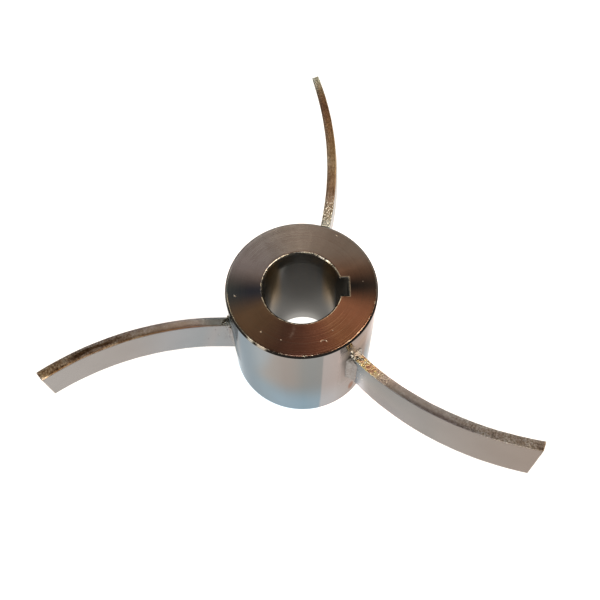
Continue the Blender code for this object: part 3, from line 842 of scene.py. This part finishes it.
def beadTree():
    tree, build, given = newTree("fillet weld", {
        "Float": ("Length", "Top Leg", "Foot Leg", "First Stretch", "Second Stretch", "Pitch", "Ripple",
                  "Wobble", "Bury", "Seed"),
        "Int": ("Around", "Steps"), "Material": ("Material",)})
    rod = build.node("GeometryNodeMeshCylinder", {
        "Vertices": given["Around"], "Side Segments": given["Steps"], "Radius": 1.0, "Depth": 2.0},
        fill_type="TRIANGLE_FAN")
    x, y, z = build.node("GeometryNodeInputPosition").split()
    spread = x.length(y)
    angle = y.maths("ARCTAN2", x)
    height = z * given["Length"] * 0.5
    # The fan is 1 in the middle of the fillet and 0 at the wall and the bar
    fan = (angle * 2.0).maths("SINE")
    leg = given["Foot Leg"] + (given["Top Leg"] - given["Foot Leg"]) * (z * 0.5 + 0.5)
    phase = (height + fan * leg * 0.35) / given["Pitch"]
    phase = phase + build.noise(build.join(0.0, 0.0, height), 500.0, 1.0, 0.5, given["Seed"]) * 1.5
    ridge = abs((phase * math.pi).maths("SINE"))
    lumps = build.noise(build.join(x * 0.003, y * 0.003, height), 420.0, 2.0, 0.5, given["Seed"] + 3.0)
    reach = leg * (1.0 - fan.most(0.0) * 0.33) + ridge * given["Ripple"] + (lumps - 0.5) * given["Wobble"]
    reach = reach * (1.0 - (abs(z) * abs(z)).maths("POWER", 6.0) * 0.35) * spread
    buried = given["Bury"] * -1.0
    px = (reach * angle.maths("COSINE") * given["First Stretch"]).most(buried)
    py = (reach * angle.maths("SINE") * given["Second Stretch"]).most(buried)
    shape = build.node("GeometryNodeSetPosition", {
        "Geometry": rod, "Position": build.join(px, py, height)})
    shape = build.node("GeometryNodeMergeByDistance", {"Geometry": shape, "Distance": 0.00001})
    closeTree(build, shape, given["Material"])
    return tree


def randomSize(build, given):
    return build.node("FunctionNodeRandomValue", {2: given["Small"], 3: given["Large"],
                                                  "Seed": given["Seed"]}, 1, data_type="FLOAT")


def blobTree():
    tree, build, given = newTree("weld lumps", {
        "Vector": ("Start", "Middle", "End"), "Float": ("Small", "Large", "Scatter", "Voxel", "Rough"),
        "Int": ("Count", "Seed"), "Material": ("Material",)})
    path = build.node("GeometryNodeCurveQuadraticBezier", {
        "Resolution": 24, "Start": given["Start"], "Middle": given["Middle"], "End": given["End"]})
    line = build.node("GeometryNodeCurveToPoints", {"Curve": path, "Count": given["Count"]}, mode="COUNT")
    jitter = build.node("FunctionNodeRandomValue", {
        0: (-1.0, -1.0, -1.0), 1: (1.0, 1.0, 1.0), "Seed": given["Seed"]}, data_type="FLOAT_VECTOR")
    line = build.node("GeometryNodeSetPosition", {
        "Geometry": line, "Offset": jitter.scaled(given["Scatter"])})
    ball = build.node("GeometryNodeMeshIcoSphere", {"Radius": 1.0, "Subdivisions": 4})
    balls = build.node("GeometryNodeInstanceOnPoints", {
        "Points": line, "Instance": ball, "Scale": randomSize(build, given)})
    balls = build.node("GeometryNodeRealizeInstances", {"Geometry": balls})
    fog = build.node("GeometryNodeMeshToVolume", {
        "Mesh": balls, "Voxel Size": given["Voxel"], "Interior Band Width": 0.001},
        resolution_mode="VOXEL_SIZE")
    shape = build.node("GeometryNodeVolumeToMesh", {"Volume": fog, "Threshold": 0.1},
                       resolution_mode="GRID")
    lumps = build.noise(build.node("GeometryNodeInputPosition"), 900.0, 3.0, 0.6) - 0.5
    push = build.node("GeometryNodeInputNormal").scaled(lumps * given["Rough"])
    shape = build.node("GeometryNodeSetPosition", {"Geometry": shape, "Offset": push})
    closeTree(build, shape, given["Material"])
    return tree


spatter = {
    "level": 0.2, "reach": 0.014, "density": 300000.0, "small": 0.00009, "large": 0.00026, "flatness": 0.7,
    # The drops fade out this far inside the hub's wall
    "wallDepth": (-0.00006, -0.00003),
}


def spatterTree():
    tree, build, given = newTree("weld spatter", {
        "Object": ("Bar", "Hub"), "Vector": ("Centre",), "Int": ("Seed",), "Material": ("Material",),
        "Float": ("Reach", "Density", "Small", "Large", "Wall Radius")})
    shapes = [build.node("GeometryNodeObjectInfo", {"Object": given[label]}, out=4)
              for label in ("Bar", "Hub")]
    both = build.node("GeometryNodeJoinGeometry", {0: shapes})
    spot = build.node("GeometryNodeInputPosition")
    x, y, _ = spot.split()
    away = build.node("ShaderNodeVectorMath", {0: spot, 1: given["Centre"]}, 1, operation="DISTANCE")
    near = away.step(given["Reach"], given["Reach"] * 0.3)
    outside = (x.length(y) - given["Wall Radius"]).step(*spatter["wallDepth"])
    points, _, turned = build.node("GeometryNodeDistributePointsOnFaces", {
        "Mesh": both, "Density": near * near * outside * given["Density"], "Seed": given["Seed"]}, out=None)
    size = randomSize(build, given)
    drop = build.node("GeometryNodeMeshIcoSphere", {"Radius": 1.0, "Subdivisions": 1})
    drops = build.node("GeometryNodeInstanceOnPoints", {
        "Points": points, "Instance": drop, "Rotation": turned,
        "Scale": build.join(size, size, size * spatter["flatness"])})
    closeTree(build, drops, given["Material"])
    return tree


def makeWelds(name, fillets, blobs, filletMetal, lumpMetal):
    matrix = barFrame(blades[name])
    outward = (matrix.to_3x3() @ Vector((1.0, 0.0, 0.0))).normalized()
    aside = (matrix.to_3x3() @ Vector((0.0, 1.0, 0.0))).normalized()
    half = bar["height"] / 2.0
    own = weld[name]
    for side, sideName in ((1, "inner"), (-1, "outer")):
        topLeg, footLeg, stretch = own[sideName]
        low, high = [meetsWall(matrix, side, end * (half - weld["stop"])) for end in (-1, 1)]
        up = (high - low).normalized()
        first = outward if side == 1 else -aside
        first = (first - up * first.dot(up)).normalized()
        turn = Matrix((first, up.cross(first), up)).transposed().to_4x4()
        settings = {label: weld[label.lower()]
                    for label in ("Pitch", "Ripple", "Wobble", "Bury", "Around", "Steps")}
        piece = grown("fillet_" + name + "_" + sideName, fillets, {
            "Length": (high - low).length, "Top Leg": topLeg, "Foot Leg": footLeg, **settings,
            "First Stretch": stretch if side == 1 else 1.0, "Second Stretch": 1.0 if side == 1 else stretch,
            "Seed": blades[name]["seed"] + side, "Material": filletMetal})
        matrixHere = Matrix.Translation((low + high) / 2.0) @ turn
        placed(piece, matrixHere, "weld_metal", "weld_" + name + "_" + sideName)
    for end, endName in ((1, "top"), (-1, "under")):
        count, *path = own[endName]
        points = [meetsWall(matrix, across, end * half) + outward * out + Vector((0.0, 0.0, lift))
                  for out, across, lift in path]
        piece = grown("lumps_" + name + "_" + endName, blobs, {
            "Start": points[0], "Middle": points[1], "End": points[2], "Count": count,
            "Small": own["small"], "Large": own["large"], "Scatter": weld["scatter"],
            "Voxel": weld["voxel"], "Rough": weld["rough"],
            "Seed": int(blades[name]["seed"]) + end, "Material": lumpMetal})
        nodes = ["weld_" + name + "_" + endName + "_" + sideName for sideName in ("inner", "outer")]
        placed(piece, Matrix.Identity(4), "weld_metal", *nodes)
    print("welds made:", name)


def makeSpatter(name, tree, barPiece, hubPiece, material):
    centre = meetsWall(barFrame(blades[name]), 0.0, bar["height"] * spatter["level"])
    piece = grown("spatter_" + name, tree, {
        "Bar": barPiece, "Hub": hubPiece, "Centre": centre, "Reach": spatter["reach"],
        "Density": spatter["density"], "Small": spatter["small"], "Large": spatter["large"],
        "Wall Radius": hub["radius"], "Seed": int(blades[name]["seed"]), "Material": material})
    placed(piece, Matrix.Identity(4), "weld_metal")
    print("spatter made:", name, len(piece.data.polygons), "faces")


makeCamera()
makeSky()
makeFloor()
hubPiece = makeHub(hubSteel())
barShape, beadShape, blobShape, dropShape = barTree(), beadTree(), blobTree(), spatterTree()
filletMetal, lumpMetal = weldSteel("fillet"), weldSteel("lumps")
for name in blades:
    barPiece = makeBlade(name, barShape, barSteel(name))
    makeWelds(name, beadShape, blobShape, filletMetal, lumpMetal)
    makeSpatter(name, dropShape, barPiece, hubPiece, lumpMetal)
